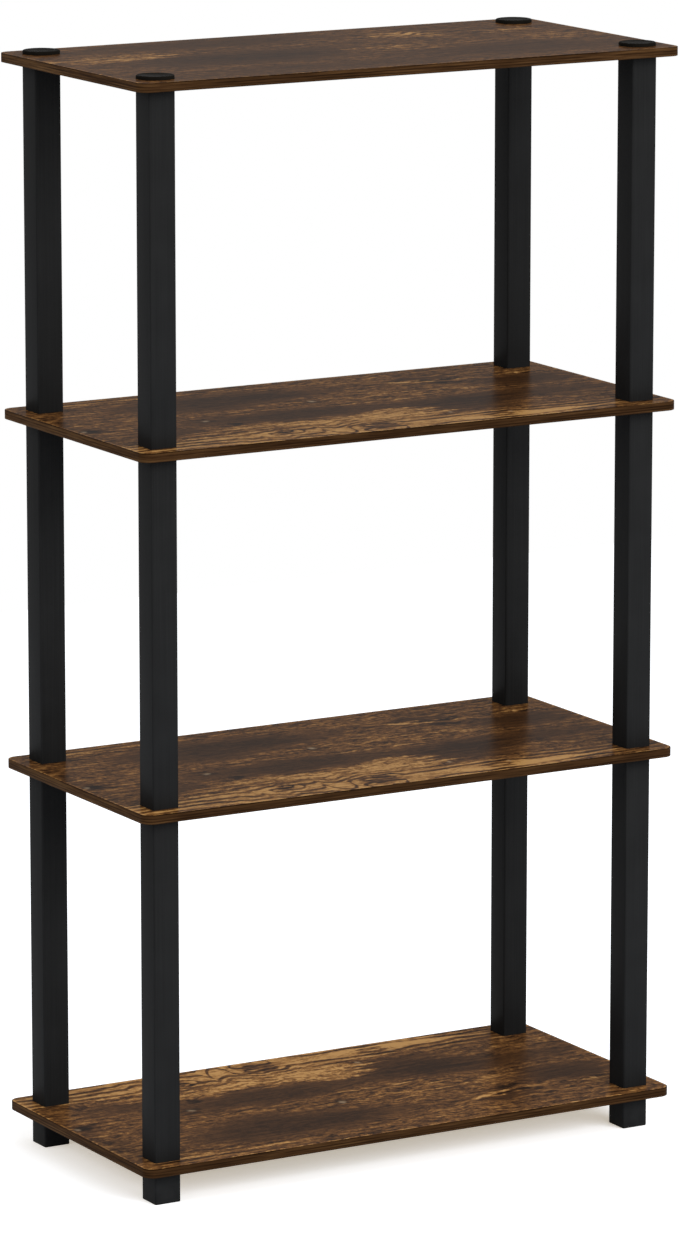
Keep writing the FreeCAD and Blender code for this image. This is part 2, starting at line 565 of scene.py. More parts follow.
@dataclass(frozen=True)
class GrainLines(Effect):
    """Where the grain lines run: level, gently wavy, bent round knots and sharply folded in places."""

    inputs: tuple[tuple[str, str], ...] = (("Point", VECTOR),)
    outputs: tuple[str, ...] = ("Level",)
    knots: tuple[Knot, ...] = ()
    folded: tuple[Stain, ...] = ()
    fold_cell: Triple = (50.0, 160.0, 1.0)
    waves: Shifts = (
        ((110.0, 50.0, 1.0), (0.0, 22.0, 0.0)),
        ((34.0, 16.0, 1.0), (0.0, 7.0, 0.0)),
    )

    def wire(self, w: Wiring, given: bpy.types.Node, result: bpy.types.Node) -> None:
        """Start from the place across the grain, and add the waves, bends and folds.

        Args:
            w: the group's wiring.
            given: the group's input node.
            result: the group's output node.
        """
        point = given.outputs["Point"]
        wavy = w.shift(point, self.waves)
        level = w.part(wavy, "Y")
        for knot in self.knots:
            level = w.math("SUBTRACT", level, knot.bend(w, wavy))
        folds = w.noise(point, self.fold_cell, 1.0, 0.4).outputs["Fac"]
        folds = w.math("ABSOLUTE", w.math("SUBTRACT", folds, 0.5))
        for patch in self.folded:
            height = w.math("MULTIPLY", folds, patch.mask(w, point))
            level = w.math("MULTIPLY_ADD", height, patch.lift, level)
        w.feed(result.inputs["Level"], level)


@dataclass(frozen=True)
class FoilPicture(Effect):
    """The wood picture on a foil: smoky and amber stains, grain lines, fibres, flecks and specks."""

    inputs: tuple[tuple[str, str], ...] = (("Point", VECTOR),)
    outputs: tuple[str, ...] = ("Tone", "Pale", "Relief")
    stains: tuple[Stain, ...] = ()
    figured: tuple[Stain, ...] = ()
    specks: tuple[Stain, ...] = ()
    pale: tuple[Stain, ...] = ()
    lines: GrainLines = GrainLines("grain_lines")
    plain_tone: float = 0.475
    plain_figure: float = 0.25
    stain_drifts: Shifts = (
        ((180.0, 5.0, 1.0), (95.0, 16.0, 0.0)),
        ((85.0, 50.0, 1.0), (55.0, 36.0, 0.0)),
        ((24.0, 10.0, 1.0), (40.0, 22.0, 0.0)),
    )
    fibre_drifts: Shifts = (((40.0, 26.0, 1.0), (16.0, 22.0, 0.0)),)
    speck_drifts: Shifts = (((7.0, 6.0, 1.0), (9.0, 7.0, 0.0)),)
    smoky_tone: float = 0.28
    clear_tone: float = 0.58
    smoky_share: float = 0.18
    line_pitch: float = 12.0
    line_dark: float = 0.52
    line_width: float = 1.5
    line_core: float = 0.45
    line_depth: float = 3.2
    line_mean: float = 0.4
    faint_cell: Triple = (60.0, 16.0, 1.0)
    faint_share: float = 0.55
    streak: Triple = (26.0, 1.3, 1.0)
    streak_weight: float = 0.4
    pit: Triple = (26.0, 9.0, 1.0)
    pit_weight: float = -0.2
    plain_texture: float = 1.1
    figure_calm: float = -0.4
    fibres: Layers = (
        ((120.0, 8.0, 1.0), 0.7),
        ((45.0, 12.0, 1.0), 0.85),
    )
    flecks: Layers = (
        ((26.0, 5.5, 1.0), 0.3),
        ((11.0, 4.5, 1.0), 0.38),
        ((5.0, 4.5, 1.0), 0.3),
    )
    fleck_edge: float = 0.15

    def add_up(self, w: Wiring, point: Socket, stains: tuple[Stain, ...], start: Feed) -> Socket:
        """Add stains to a starting tone, each by its lift.

        Args:
            w: the group's wiring.
            point: the place on the print.
            stains: the stains to add.
            start: the tone before them.

        Returns:
            The tone with all stains.
        """
        total = start
        for stain in stains:
            total = w.math("MULTIPLY_ADD", stain.mask(w, point), stain.lift, total)
        return total

    def draw_lines(self, w: Wiring, point: Socket) -> Socket:
        """Draw the grain lines, as wide where they lie close as where they lie far apart.

        Args:
            w: the group's wiring.
            point: the true place.

        Returns:
            How dark a line is at the place.
        """
        here = self.lines.place(w, Point=point).outputs["Level"]
        beside = w.vector("ADD", point, (1.0, 0.0, 0.0))
        right = self.lines.place(w, Point=beside).outputs["Level"]
        further = w.vector("ADD", point, (0.0, self.line_depth, 0.0))
        behind = self.lines.place(w, Point=further).outputs["Level"]
        slopes = w.add("ShaderNodeCombineXYZ")
        w.feed(slopes.inputs["X"], w.math("SUBTRACT", right, here))
        w.feed(slopes.inputs["Y"], w.math("SUBTRACT", behind, here))
        slope = w.vector("LENGTH", slopes.outputs["Vector"])
        away = w.math("DIVIDE", w.math("PINGPONG", here, 0.5 * self.line_pitch), slope)
        line = w.ease(away, self.line_width, self.line_core)
        pressed = w.ease(w.noise(point, self.faint_cell).outputs["Fac"], 0.3, 0.6)
        dark = w.math("MULTIPLY_ADD", pressed, 1.0 - self.faint_share, self.faint_share)
        return w.math("MULTIPLY", line, dark)

    def wire(self, w: Wiring, given: bpy.types.Node, result: bpy.types.Node) -> None:
        """Add stains, fibres, flecks, pits and grain lines into one tone; smoky places show less of them.

        Args:
            w: the group's wiring.
            given: the group's input node.
            result: the group's output node.
        """
        point = given.outputs["Point"]
        moved = w.shift(point, self.stain_drifts)
        tone = self.add_up(w, moved, self.stains, self.plain_tone)
        amber = w.ease(tone, self.smoky_tone, self.clear_tone)
        clear = w.math("MULTIPLY_ADD", amber, 1.0 - self.smoky_share, self.smoky_share)
        fine = GRAIN.place(w, Point=point, Streak=self.streak)
        texture = w.sway(fine.outputs["Streaks"], self.streak_weight, 0.0)
        bent = w.shift(point, self.fibre_drifts)
        for cell, weight in self.fibres:
            texture = w.sway(w.noise(bent, cell, 2.5, 0.6).outputs["Fac"], weight, texture)
        for cell, weight in self.flecks:
            noise = w.noise(bent, cell, 3.0, 0.65).outputs["Fac"]
            fleck = w.ease(noise, 0.5 - self.fleck_edge, 0.5 + self.fleck_edge)
            texture = w.sway(fleck, weight, texture)
        pits = GRAIN.place(w, Point=moved, Streak=self.pit)
        texture = w.math("MULTIPLY_ADD", pits.outputs["Cracks"], self.pit_weight, texture)
        figure = self.add_up(w, moved, self.figured, self.plain_figure)
        soft = w.math("MULTIPLY", clear, w.math("MULTIPLY_ADD", figure, self.figure_calm, self.plain_texture))
        tone = w.math("MULTIPLY_ADD", soft, texture, tone)
        lines = w.math("SUBTRACT", self.draw_lines(w, point), self.line_mean)
        darker = w.math("MULTIPLY", lines, self.line_dark)
        tone = w.math("SUBTRACT", tone, w.math("MULTIPLY", darker, w.math("MULTIPLY", figure, clear)))
        ragged = w.shift(point, self.speck_drifts)
        tone = w.math("ADD", self.add_up(w, ragged, self.specks, tone), 0.0, clamp=True)
        w.feed(result.inputs["Tone"], tone)
        w.feed(result.inputs["Pale"], w.math("ADD", self.add_up(w, ragged, self.pale, 0.0), 0.0, clamp=True))
        w.feed(result.inputs["Relief"], fine.outputs["Streaks"])


@dataclass(frozen=True)
class BoardPrint:
    """The printed foil of a board, with a painted highlight along its rim and a clear sheen."""

    name: str
    picture: FoilPicture
    lay: Lay = Lay.STRAIGHT
    half: tuple[float, float] = (299.2, 146.7)
    corner: float = 11.2
    sheen: float = 0.105
    blur: float = 0.28
    # painted light: scales the foil's inks, so one foil is painted lighter or darker on each board for the
    # light it gets
    painted_light_level: float = 1.0
    # painted highlight: how much the lighter line along the rim lifts the tone
    rim_highlight_lift: float = 0.38
    texture: Triple = (6.0, 0.8, 1.0)
    depth: float = 0.02
    rough: float = 0.35
    pale: Triple = (0.26, 0.185, 0.115)
    tones: Stops = (
        (0.0, (0.011, 0.0056, 0.003)),
        (0.2, (0.027, 0.0128, 0.0062)),
        (0.42, (0.073, 0.0325, 0.0125)),
        (0.6, (0.142, 0.063, 0.0205)),
        (0.8, (0.25, 0.122, 0.037)),
        (1.0, (0.41, 0.225, 0.078)),
    )

    def material(self) -> bpy.types.Material:
        """Build the finish.

        Returns:
            The board's material.
        """
        material, w, shader = new_material(self.name)
        point = w.coordinates(self.lay.value, 0.0)
        picture = self.picture.place(w, Point=point)
        rim = PAINTED_RIM_HIGHLIGHT.place(w, Point=point, Half=(*self.half, 0.0), Corner=self.corner)
        # painted highlight: the rim's lighter line is added to the print's tone
        tone = w.math("MULTIPLY_ADD", rim.outputs["Worn"], self.rim_highlight_lift, picture.outputs["Tone"], clamp=True)
        # painted light: the inks scaled by the board's painted light level
        inks = tuple((place, tuple(self.painted_light_level * share for share in ink)) for place, ink in self.tones)
        speckled = w.blend(picture.outputs["Pale"], w.ramp(tone, inks), (*self.pale, 1.0))
        w.feed(shader.inputs["Base Color"], speckled)
        wiping = HANDLING.place(w, Point=point, Cell=self.texture)
        rough = w.math("MULTIPLY_ADD", wiping.outputs["Wiping"], 0.2, self.rough)
        w.feed(shader.inputs["Roughness"], rough)
        relief = w.math("MULTIPLY_ADD", picture.outputs["Relief"], 0.6, wiping.outputs["Texture"])
        w.feed(shader.inputs["Normal"], w.bump(relief, self.depth))
        shader.inputs["Specular IOR Level"].default_value = 0.0
        shader.inputs["Coat Weight"].default_value = self.sheen
        shader.inputs["Coat Roughness"].default_value = self.blur
        shader.inputs["Coat IOR"].default_value = 1.5
        return material


@dataclass(frozen=True)
class BandPrint:
    """The printed strip round a board's edge, with level stripes and painted light on its left end."""

    name: str = "edge_band_print"
    lowest: float = 33.0
    pitch: float = 350.5
    thickness: float = 9.0
    stripes: tuple[float, ...] = (0.0, 0.3, 0.58)
    stripe_width: float = 0.11
    stripe_dark: float = -0.24
    gap_cell: Triple = (60.0, 60.0, 3.0)
    shade: Triple = (95.0, 95.0, 4.0)
    fibre: Triple = (22.0, 22.0, 0.7)
    texture: Triple = (2.0, 2.0, 0.5)
    depth: float = 0.03
    rough: float = 0.4
    gloss: float = 0.01
    plain_tone: float = 0.57
    # Painted light: soft patches that lift the band's tone. The two on the left end paint that end lit
    # brighter; the third lifts the top band's front near its right end.
    painted_light_patches: tuple[tuple[Triple, Triple, float], ...] = (
        ((-300.0, 70.0, 540.0), (40.0, 120.0, 900.0), 0.1),
        ((-300.0, -90.0, 540.0), (30.0, 60.0, 900.0), 0.06),
        ((285.0, -147.0, 1090.0), (60.0, 40.0, 80.0), 0.05),
    )
    tones: Stops = (
        (0.2, (0.005, 0.0023, 0.001)),
        (0.45, (0.0165, 0.0074, 0.0028)),
        (0.6, (0.034, 0.0158, 0.006)),
        (0.8, (0.088, 0.045, 0.0165)),
    )

    def lines(self, w: Wiring, share: Socket) -> Socket:
        """Draw the level stripes.

        Args:
            w: the material's wiring.
            share: the height on the strip, from 0 to 1.

        Returns:
            How dark a stripe is at the height.
        """
        total = w.ease(share, 0.84, 0.97)
        for place in self.stripes:
            away = w.math("ABSOLUTE", w.math("SUBTRACT", share, place))
            total = w.math("MAXIMUM", total, w.ease(away, self.stripe_width, 0.0))
        return total

    def material(self) -> bpy.types.Material:
        """Build the finish.

        Returns:
            The edge band's material.
        """
        material, w, shader = new_material(self.name)
        point = w.coordinates()
        shades = GRAIN.place(w, Point=point, Streak=self.shade)
        fibres = GRAIN.place(w, Point=point, Streak=self.fibre)
        above = w.math("SUBTRACT", w.part(point, "Z"), self.lowest)
        above = w.math("FLOORED_MODULO", above, self.pitch)
        lines = self.lines(w, w.math("DIVIDE", above, self.thickness))
        tone = w.sway(shades.outputs["Streaks"], 0.45, self.plain_tone)
        tone = w.sway(fibres.outputs["Streaks"], 0.4, tone)
        # painted light: lift the tone inside each soft patch
        for centre, reach, lift in self.painted_light_patches:
            patch = SOFT_PATCH.place(w, Point=point, Centre=centre, Reach=reach, Softness=0.6)
            tone = w.math("MULTIPLY_ADD", patch.outputs["Mask"], lift, tone)
        broken = w.ease(w.noise(point, self.gap_cell).outputs["Fac"], 0.3, 0.65)
        lines = w.math("MULTIPLY", lines, broken)
        tone = w.math("MULTIPLY_ADD", lines, self.stripe_dark, tone, clamp=True)
        w.feed(shader.inputs["Base Color"], w.ramp(tone, self.tones))
        wiping = HANDLING.place(w, Point=point, Cell=self.texture)
        w.feed(shader.inputs["Roughness"], w.math("MULTIPLY_ADD", wiping.outputs["Wiping"], 0.2, self.rough))
        w.feed(shader.inputs["Normal"], w.bump(fibres.outputs["Streaks"], self.depth))
        shader.inputs["Specular IOR Level"].default_value = self.gloss
        return material


@dataclass(frozen=True)
class BlackPlastic:
    """Black plastic, with the marks of how it was formed."""

    name: str
    tone: Triple
    streak: Triple
    texture: Triple
    depth: float
    rough: float
    gloss: float = 0.012
    darkest: float = 0.82
    lightest: float = 1.2

    def material(self) -> bpy.types.Material:
        """Build the finish.

        Returns:
            The plastic's material.
        """
        material, w, shader = new_material(self.name)
        point = w.coordinates()
        drawn = GRAIN.place(w, Point=point, Streak=self.streak)
        wiping = HANDLING.place(w, Point=point, Cell=self.texture)
        dark = tuple(self.darkest * share for share in self.tone)
        light = tuple(self.lightest * share for share in self.tone)
        tone = w.sway(drawn.outputs["Streaks"], 1.2, 0.5)
        tone = w.sway(wiping.outputs["Wiping"], 0.6, tone)
        w.feed(shader.inputs["Base Color"], w.ramp(tone, ((0.2, dark), (0.8, light))))
        rough = w.sway(wiping.outputs["Wiping"], 0.25, self.rough)
        rough = w.sway(drawn.outputs["Streaks"], 0.2, rough)
        w.feed(shader.inputs["Roughness"], rough)
        relief = w.math("MULTIPLY_ADD", drawn.outputs["Streaks"], 0.7, wiping.outputs["Texture"])
        w.feed(shader.inputs["Normal"], w.bump(relief, self.depth))
        shader.inputs["Specular IOR Level"].default_value = self.gloss
        return material


def rounded_sheet(mesh: bmesh.types.BMesh, width: float, depth: float, corner: float, steps: int) -> None:
    """Lay a rectangle with round corners in the XY plane, centred on the origin.

    Args:
        mesh: the mesh that gets the sheet.
        width: its size along X.
        depth: its size along Y.
        corner: its corner radius.
        steps: edges in each corner.
    """
    sheet = bmesh.ops.create_grid(mesh, x_segments=1, y_segments=1, size=0.5)["verts"]
    bmesh.ops.scale(mesh, vec=(width, depth, 1.0), verts=sheet)
    bmesh.ops.bevel(
        mesh, geom=sheet, offset=corner, segments=steps, profile=0.5, affect="VERTICES", material=-1
    )


def level_edges(mesh: bmesh.types.BMesh, height: float) -> list[bmesh.types.BMEdge]:
    """Find the edges that lie level at a height.

    Args:
        mesh: the mesh to search.
        height: the height of both ends.

    Returns:
        The edges.
    """
    return [e for e in mesh.edges if all(abs(v.co.z - height) < LEVEL_SLACK for v in e.verts)]


def raise_edges(mesh: bmesh.types.BMesh, edges: list[bmesh.types.BMEdge], height: float) -> None:
    """Draw a wall straight up from edges, or down where the height is negative.

    Args:
        mesh: the mesh that holds the edges.
        edges: where the wall starts.
        height: how far it goes.
    """
    drawn = bmesh.ops.extrude_edge_only(mesh, edges=edges)["geom"]
    ends = [part for part in drawn if isinstance(part, bmesh.types.BMVert)]
    bmesh.ops.translate(mesh, vec=(0.0, 0.0, height), verts=ends)


@dataclass
class ShapedPiece:
    """A piece that is modelled over one solid of the frame and then stands for it."""

    node: str
    name: str
    slot: Slot

    def span(self) -> tuple[Vector, Vector]:
        """Give the solid's lowest and highest corner, in millimetres."""
        low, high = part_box(self.node)
        return low / MM, high / MM

    def shape(self) -> bmesh.types.BMesh:
        """Model the piece in its place, in millimetres; each kind of piece has its own.

        Returns:
            The piece's mesh.
        """
        raise NotImplementedError

    def dress(self, material: bpy.types.Material) -> bpy.types.Object:
        """Make the piece's object, with its finish, in place of the solid.

        Args:
            material: the finish.

        Returns:
            The finished piece.
        """
        mesh = self.shape()
        bmesh.ops.recalc_face_normals(mesh, faces=mesh.faces[:])
        bmesh.ops.scale(mesh, vec=(MM, MM, MM), verts=mesh.verts[:])
        data = bpy.data.meshes.new(self.name)
        mesh.to_mesh(data)
        mesh.free()
        data.shade_smooth()
        data.set_sharp_from_angle(angle=SHARP_ANGLE)
        data.materials.append(material)
        piece = bpy.data.objects.new(self.name, data)
        bpy.context.scene.collection.objects.link(piece)
        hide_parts(self.node)
        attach(piece, frame["nodes"][self.node]["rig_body"])
        LOG.info("%s stands for %s: %d faces", self.name, self.node, len(data.polygons))
        return piece


@dataclass
class WalledPiece(ShapedPiece):
    """A piece with an even wall round a rounded outline, open above and below."""

    wall: float = 1.5
    corner: float = 2.0
    corner_steps: int = 6
    rim: float = 0.3
    rim_steps: int = 2

    def shape(self) -> bmesh.types.BMesh:
        """Raise the outline into a wall, thicken it inwards and ease its outer edges.

        Returns:
            The piece's mesh.
        """
        low, high = self.span()
        mesh = bmesh.new()
        rounded_sheet(mesh, high.x - low.x, high.y - low.y, self.corner, self.corner_steps)
        bmesh.ops.delete(mesh, geom=mesh.faces[:], context="FACES_ONLY")
        middle = (low + high) / 2.0
        bmesh.ops.translate(mesh, vec=(middle.x, middle.y, low.z), verts=mesh.verts[:])
        raise_edges(mesh, mesh.edges[:], high.z - low.z)
        bmesh.ops.recalc_face_normals(mesh, faces=mesh.faces[:])
        outer = level_edges(mesh, low.z) + level_edges(mesh, high.z)
        bmesh.ops.solidify(mesh, geom=mesh.faces[:], thickness=self.wall)
        bmesh.ops.bevel(
            mesh,
            geom=outer,
            offset=self.rim,
            segments=self.rim_steps,
            profile=0.5,
            affect="EDGES",
            material=-1,
        )
        return mesh


@dataclass
class EdgeBand(WalledPiece):
    """The strip glued round a board's edge, with eased arrises."""

    wall: float = 0.8
    corner: float = 12.0
    corner_steps: int = 12
    rim: float = 0.5
    rim_steps: int = 3


@dataclass
class PostTube(WalledPiece):
    """A square hollow tube between two boards, with eased rims."""

    wall: float = 1.5
    corner: float = 2.0
    rim: float = 0.3


@dataclass
class PostFoot(ShapedPiece):
    """The short moulded foot under the lowest board, with a socket for the stud above it."""

    corner: float = 2.0
    corner_steps: int = 6
    chamfer: float = 0.8
    socket_radius: float = 8.3
    socket_depth: float = 16.0
    socket_steps: int = 48

    def sink_socket(self, mesh: bmesh.types.BMesh, top: float) -> None:
        """Open the top in the middle, and give the opening a round wall and a floor.

        Args:
            mesh: the foot with no top face, on the origin's axis.
            top: the height of its top.
        """
        outline = level_edges(mesh, top)
        mouth = bmesh.ops.create_circle(mesh, segments=self.socket_steps, radius=self.socket_radius)["verts"]
        bmesh.ops.translate(mesh, vec=(0.0, 0.0, top), verts=mouth)
        rims = level_edges(mesh, top)
        bmesh.ops.triangle_fill(mesh, edges=rims, use_beauty=True)
        ring = [edge for edge in rims if edge not in outline]
        raise_edges(mesh, ring, -self.socket_depth)
        bmesh.ops.edgeloop_fill(mesh, edges=level_edges(mesh, top - self.socket_depth))

    def shape(self) -> bmesh.types.BMesh:
        """Raise a rounded square, sink the socket and ease the edge on the floor.

        Returns:
            The piece's mesh.
        """
        low, high = self.span()
        mesh = bmesh.new()
        rounded_sheet(mesh, high.x - low.x, high.y - low.y, self.corner, self.corner_steps)
        bmesh.ops.translate(mesh, vec=(0.0, 0.0, low.z), verts=mesh.verts[:])
        raise_edges(mesh, mesh.edges[:], high.z - low.z)
        self.sink_socket(mesh, high.z)
        middle = (low + high) / 2.0
        bmesh.ops.translate(mesh, vec=(middle.x, middle.y, 0.0), verts=mesh.verts[:])
        bmesh.ops.bevel(
            mesh,
            geom=level_edges(mesh, low.z),
            offset=self.chamfer,
            segments=2,
            profile=0.5,
            affect="EDGES",
            material=-1,
        )
        return mesh


@dataclass
class ScrewCap(ShapedPiece):
    """A flat round cap with its threaded stud."""

    head_height: float = 3.5
    head_edge: float = 1.2
    head_chamfer: float = 0.3
    edge_steps: int = 5
    dish: float = 0.15
    dish_rim: float = 2.2
    dish_slope: float = 0.8
    stud_radius: float = 8.0
    stud_chamfer: float = 1.2
    thread_pitch: float = 3.0
    thread_depth: float = 0.8
    thread_run: float = 0.5
    thread_end: float = 0.6
    round_steps: int = 72

    def profile(self, low: Vector, high: Vector) -> list[Vector]:
        """List the outline from the stud's tip to the middle of the top.

        Args:
            low: the solid's lowest corner.
            high: the solid's highest corner.

        Returns:
            Points in the XZ plane, with the cap's axis at X = 0.
        """
        radius = (high.x - low.x) / 2.0
        seat = high.z - self.head_height
        points = [Vector((0.0, 0.0, low.z)), Vector((self.stud_radius - self.stud_chamfer, 0.0, low.z))]
        runs = round((seat - low.z - self.stud_chamfer) / self.thread_run)
        for run in range(runs + 1):
            height = low.z + self.stud_chamfer + (seat - low.z - self.stud_chamfer) * run / runs
            points.append(Vector((self.stud_radius, 0.0, height)))
        points.append(Vector((radius - self.head_chamfer, 0.0, seat)))
        points.append(Vector((radius, 0.0, seat + self.head_chamfer)))
        for step in range(self.edge_steps + 1):
            angle = math.pi / 2.0 * step / self.edge_steps
            across = radius - self.head_edge * (1.0 - math.cos(angle))
            points.append(Vector((across, 0.0, high.z - self.head_edge * (1.0 - math.sin(angle)))))
        inner = radius - self.head_edge - self.dish_rim
        points.append(Vector((inner, 0.0, high.z)))
        points.append(Vector((inner - self.dish_slope, 0.0, high.z - self.dish)))
        points.append(Vector((0.0, 0.0, high.z - self.dish)))
        return points

    def cut_thread(self, mesh: bmesh.types.BMesh, low: Vector, high: Vector) -> None:
        """Press the screw thread into the stud.

        Args:
            mesh: the turned cap, on the origin's axis.
            low: the solid's lowest corner; not used.
            high: the solid's highest corner.
        """
        seat = high.z - self.head_height
        for vert in mesh.verts:
            reach = math.hypot(vert.co.x, vert.co.y)
            if abs(reach - self.stud_radius) > ROUND_SLACK or vert.co.z > seat - self.thread_end:
                continue
            phase = vert.co.z / self.thread_pitch - math.atan2(vert.co.y, vert.co.x) / (2.0 * math.pi)
            groove = 0.5 - 0.5 * math.cos(2.0 * math.pi * phase)
            share = 1.0 - self.thread_depth * groove / self.stud_radius
            vert.co.x *= share
            vert.co.y *= share

    def shape(self) -> bmesh.types.BMesh:
        """Turn the outline on the cap's axis and cut the thread.

        Returns:
            The piece's mesh.
        """
        low, high = self.span()
        mesh = bmesh.new()
        verts = [mesh.verts.new(point) for point in self.profile(low, high)]
        edges = [mesh.edges.new(pair) for pair in zip(verts, verts[1:])]
        bmesh.ops.spin(
            mesh,
            geom=verts + edges,
            cent=(0.0, 0.0, 0.0),
            axis=(0.0, 0.0, 1.0),
            angle=2.0 * math.pi,
            steps=self.round_steps,
            use_merge=True,
        )
        bmesh.ops.remove_doubles(mesh, verts=mesh.verts[:], dist=LEVEL_SLACK)
        self.cut_thread(mesh, low, high)
        middle = (low + high) / 2.0
        bmesh.ops.translate(mesh, vec=(middle.x, middle.y, 0.0), verts=mesh.verts[:])
        return mesh


@dataclass
class Board:
    """One board, which keeps its solid."""

    node: str

    def dress(self, material: bpy.types.Material) -> bpy.types.Object:
        """Give the solid its printed foil.

        Args:
            material: the finish.

        Returns:
            The board.
        """
        return dress_solid(self.node, material)


def dress_solid(node: str, material: bpy.types.Material) -> bpy.types.Object:
    """Give a solid of the frame a better finish.

    Args:
        node: the solid's name.
        material: the finish.

    Returns:
        The solid's object.
    """
    piece = frame["nodes"][node]
    piece.data.materials.clear()
    piece.data.materials.append(material)
    LOG.info("%s keeps its solid", node)
    return piece


@dataclass
class Viewpoint:
    """The camera, at the photograph's viewing angle."""

    place: Triple = (-3.2028, -5.5335, 1.8408)
    azimuth: float = 30.051
    pitch: float = 11.609
    lens: float = 191.61

    def build(self) -> bpy.types.Object:
        """Set up the camera.

        Returns:
            The camera.
        """
        data = bpy.data.cameras.new("photo_view")
        data.lens = self.lens
        data.sensor_width = 36.0
        data.sensor_fit = "AUTO"
        data.clip_end = 200.0
        camera = bpy.data.objects.new("photo_view", data)
        camera.location = self.place
        camera.rotation_euler = (math.radians(90.0 - self.pitch), 0.0, math.radians(-self.azimuth))
        bpy.context.scene.collection.objects.link(camera)
        bpy.context.scene.camera = camera
        return camera


@dataclass
class SoftLamp:
    """A large soft lamp that points at the unit's middle."""

    name: str
    place: Triple
    size: tuple[float, float]
    power: float
    target: Triple = (0.0, 0.0, 0.5)

    def build(self) -> bpy.types.Object:
        """Hang the lamp.

        Returns:
            The lamp.
        """
        data = bpy.data.lights.new(self.name, "AREA")
        data.shape = "RECTANGLE"
        data.size, data.size_y = self.size
        data.energy = self.power
        lamp = bpy.data.objects.new(self.name, data)
        lamp.location = self.place
        aim = Vector(self.target) - Vector(self.place)
        lamp.rotation_euler = aim.to_track_quat("-Z", "Y").to_euler()
        lamp.visible_camera = False
        lamp.visible_glossy = False
        bpy.context.scene.collection.objects.link(lamp)
        return lamp


@dataclass
class Studio:
    """A plain white studio: floor, even white surroundings and soft lamps."""

    floor_size: float = 5.0
    surround: float = 0.7
    floor_tone: Triple = (0.82, 0.89, 1.0)
    floor_glow: Triple = (0.46, 0.414, 0.342)
    lamps: list[SoftLamp] = field(
        default_factory=lambda: [
            SoftLamp("front_lamp", (1.7, -4.6, 2.6), (4.5, 2.4), 315.0),
            SoftLamp("left_lamp", (-4.2, -0.6, 2.8), (3.0, 2.0), 78.0),
        ]
    )

    def seen(self, w: Wiring) -> Socket:
        """Tell the rays that see the background from those that light the object.

        Args:
            w: the wiring of the floor or the surroundings.

        Returns:
            1 for what is seen, directly or in a reflection, and 0 otherwise.
        """
        path = w.add("ShaderNodeLightPath")
        seen = w.math("MAXIMUM", path.outputs["Is Camera Ray"], path.outputs["Is Glossy Ray"])
        return w.math("MAXIMUM", seen, path.outputs["Is Transmission Ray"])

    def lay_floor(self) -> bpy.types.Object:
        """Lay the floor, which shows white and keeps the unit's shadow.

        Returns:
            The floor.
        """
        mesh = bmesh.new()
        bmesh.ops.create_grid(mesh, x_segments=1, y_segments=1, size=self.floor_size / 2.0)
        data = bpy.data.meshes.new("floor")
        mesh.to_mesh(data)
        mesh.free()
        material, w, shader = new_material("floor_white")
        shader.inputs["Base Color"].default_value = (*self.floor_tone, 1.0)
        shader.inputs["Roughness"].default_value = 1.0
        shader.inputs["Specular IOR Level"].default_value = 0.0
        shader.inputs["Emission Color"].default_value = (*self.floor_glow, 1.0)
        w.feed(shader.inputs["Emission Strength"], self.seen(w))
        data.materials.append(material)
        floor = bpy.data.objects.new("floor", data)
        bpy.context.scene.collection.objects.link(floor)
        return floor

    def surroundings(self) -> bpy.types.World:
        """Put even white all round.

        Returns:
            The world.
        """
        world = bpy.data.worlds.new("white_surroundings")
        world.use_nodes = True
        w = Wiring(world.node_tree)
        back = next(n for n in world.node_tree.nodes if n.type == "BACKGROUND")
        back.inputs["Color"].default_value = (1.0, 1.0, 1.0, 1.0)
        lit = w.math("MULTIPLY_ADD", self.seen(w), 1.0 - self.surround, self.surround)
        w.feed(back.inputs["Strength"], lit)
        bpy.context.scene.world = world
        return world

    def build(self) -> None:
        """Set up the whole studio."""
        self.lay_floor()
        self.surroundings()
        for lamp in self.lamps:
            lamp.build()


SHELF_STAINS = (
    Stain((-70.0, -126.0), (300.0, 30.0), 0.18, 0.3),
    Stain((26.0, -70.0), (40.0, 25.0), 0.38, 0.4),
    Stain((-38.0, -80.0), (46.0, 20.0), 0.30, 0.5, 6.0),
    Stain((-112.0, -70.0), (50.0, 15.0), 0.26, 0.5),
    Stain((-212.0, -100.0), (85.0, 18.0), 0.08, 0.7),
    Stain((165.0, -134.0), (32.0, 12.0), 0.24, 0.5),
    Stain((92.0, -131.0), (36.0, 9.0), 0.22, 0.5),
    Stain((-28.0, -127.0), (25.0, 16.0), -0.22, 0.5),
    Stain((-72.0, -24.0), (105.0, 26.0), -0.22, 0.6),
    Stain((105.0, -48.0), (64.0, 34.0), -0.22, 0.55),
    Stain((212.0, -28.0), (95.0, 24.0), -0.15, 0.8),
    Stain((-110.0, 76.0), (85.0, 38.0), -0.24, 0.6),
    Stain((-5.0, 78.0), (45.0, 24.0), -0.14, 0.7),
    Stain((240.0, 44.0), (52.0, 24.0), -0.20, 0.6),
    Stain((70.0, 22.0), (80.0, 28.0), 0.05, 0.7),
    Stain((-225.0, -57.0), (28.0, 20.0), -0.14, 0.6),
    Stain((-290.0, -10.0), (14.0, 20.0), -0.14, 0.7),
    Stain((-190.0, 130.0), (75.0, 9.0), 0.16, 0.6),
    Stain((115.0, 83.0), (24.0, 5.0), 0.16, 0.6),
    Stain((142.0, 96.0), (34.0, 8.0), -0.20, 0.6),
    Stain((252.0, 76.0), (36.0, 7.0), 0.16, 0.6),
)
